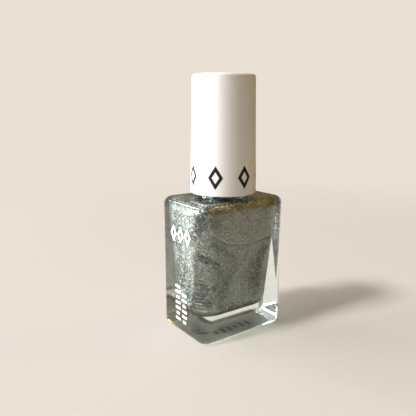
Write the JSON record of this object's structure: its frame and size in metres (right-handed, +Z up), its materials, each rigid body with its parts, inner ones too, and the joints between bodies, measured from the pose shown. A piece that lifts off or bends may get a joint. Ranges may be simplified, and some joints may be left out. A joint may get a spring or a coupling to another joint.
{
  "type": "nail polish bottle",
  "caption": "Small square-shouldered glass nail polish bottle with a tapered round screw cap that carries the brush.",
  "frame": {"origin": "centre of the flat base, on the surface that the bottle stands on", "axes": "+Z up along the neck and cap, +X across the wide faces, +Y through the wide faces from front to back"},
  "size_m": [0.027, 0.0196, 0.067],
  "materials": {
    "clear_glass": "clear, smooth moulded flint glass with a faint green-grey tint",
    "metallic_polish": "wet silver-grey lacquer full of fine metallic flakes",
    "ball_steel": "polished stainless ball",
    "label_film": "thin grey printed film",
    "liner_foam": "soft closed-cell foam",
    "cap_white": "smooth satin white moulding",
    "closure_black": "plain moulded polypropylene",
    "stem_black": "smooth moulded polyethylene",
    "bristle_nylon": "fine nylon filament",
    "staple_wire": "drawn wire",
    "cap_print": "black screen print, flat",
    "glass_print": "white screen print, flat"
  },
  "bodies": {
    "bottle": {"glass_bottle": "clear_glass", "polish_fill": "metallic_polish", "base_label": "label_film"},
    "brush_film": {"polish_on_brush": "metallic_polish"},
    "liner": {"seal_liner": "liner_foam"},
    "cap": {"overcap": "cap_white", "inner_cap": "closure_black", "brush_wand": "stem_black", "bristles": "bristle_nylon", "bristle_staple": "staple_wire"},
    "ball_1": {"mixing_ball_1": "ball_steel"},
    "ball_2": {"mixing_ball_2": "ball_steel"}
  },
  "joints": [
    {"name": "lift_off", "type": "slide", "parent": "bottle", "child": "brush_film", "axis": [0, 0, 1], "range_m": [0, 0.048]},
    {"name": "cap_rise", "type": "slide", "parent": "brush_film", "child": "liner", "axis": [0, 0, 1], "range_m": [0, 0.00318]},
    {"name": "cap_turn", "type": "hinge", "parent": "liner", "child": "cap", "pos_m": [0, 0, 0.04], "axis": [0, 0, 1], "range_deg": [0, 540]},
    {"name": "ball_1_shake", "type": "slide", "parent": "bottle", "child": "ball_1", "axis": [0, 0, 1], "range_m": [0, 0.018]},
    {"name": "ball_2_shake", "type": "slide", "parent": "bottle", "child": "ball_2", "axis": [0, 0, 1], "range_m": [0, 0.018]}
  ],
  "couplings": [
    {"joint": "cap_rise", "follows": "cap_turn", "m_per_rad": 0.00033688}
  ]
}
